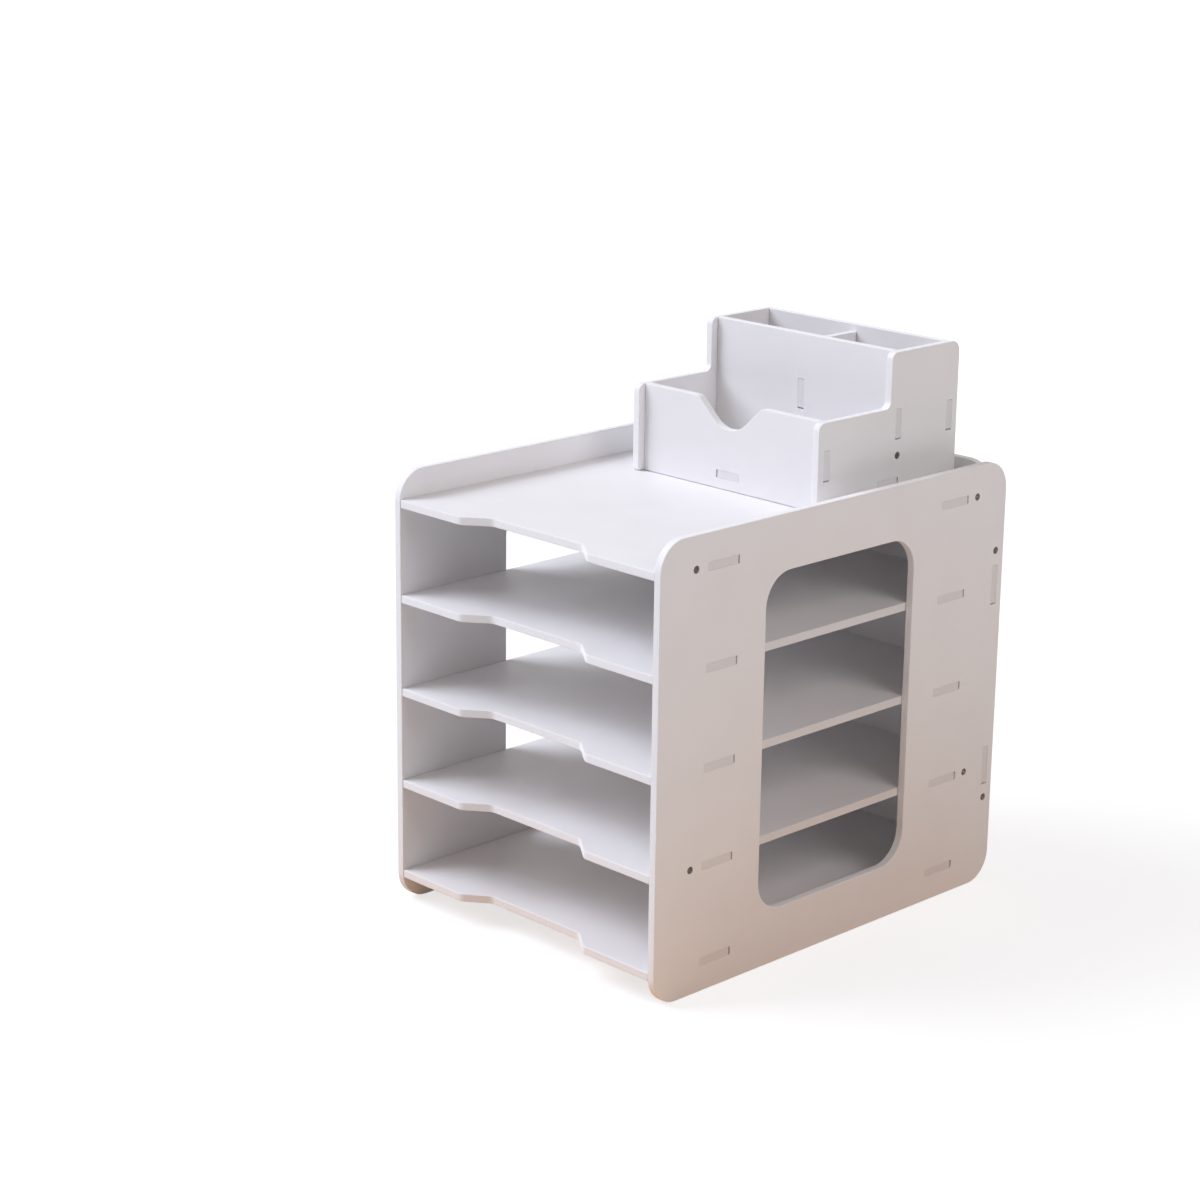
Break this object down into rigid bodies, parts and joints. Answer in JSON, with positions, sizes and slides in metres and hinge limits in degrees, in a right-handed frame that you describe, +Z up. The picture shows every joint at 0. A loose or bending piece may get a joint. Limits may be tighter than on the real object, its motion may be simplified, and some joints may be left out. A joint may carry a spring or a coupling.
{
  "type": "document organizer",
  "caption": "White desk rack of slotted board with open tiers for documents and a stepped pen caddy that lifts off its top plate.",
  "frame": {"origin": "middle of the rack's footprint, on the desk", "axes": "+X to the user's right, +Y from the open front to the back panel, +Z up"},
  "size_m": [0.245, 0.33, 0.3785],
  "materials": {
    "board": "satin white foamed plastic board",
    "screw": "dark plated steel"
  },
  "bodies": {
    "rack": {"rack_side_left": "board", "rack_side_right": "board", "rack_top_plate": "board", "rack_shelf_1": "board", "rack_shelf_2": "board", "rack_shelf_3": "board", "rack_shelf_4": "board", "rack_back_panel": "board", "screw_rack_top_plate_left_front": "screw", "screw_rack_top_plate_left_rear": "screw", "screw_rack_shelf_3_left_front": "screw", "screw_rack_shelf_3_left_rear": "screw", "screw_rack_back_left_upper": "screw", "screw_rack_back_left_lower": "screw", "screw_rack_top_plate_right_front": "screw", "screw_rack_top_plate_right_rear": "screw", "screw_rack_shelf_3_right_front": "screw", "screw_rack_shelf_3_right_rear": "screw", "screw_rack_back_right_upper": "screw", "screw_rack_back_right_lower": "screw"},
    "caddy": {"caddy_side_left": "board", "caddy_side_right": "board", "caddy_front": "board", "caddy_middle": "board", "caddy_back": "board", "caddy_floor": "board", "caddy_divider": "board", "screw_caddy_left": "screw", "screw_caddy_right": "screw"}
  },
  "joints": [
    {"name": "caddy_lift", "type": "slide", "parent": "rack", "child": "caddy", "axis": [0, 0, 1], "range_m": [0, 0.06]}
  ]
}
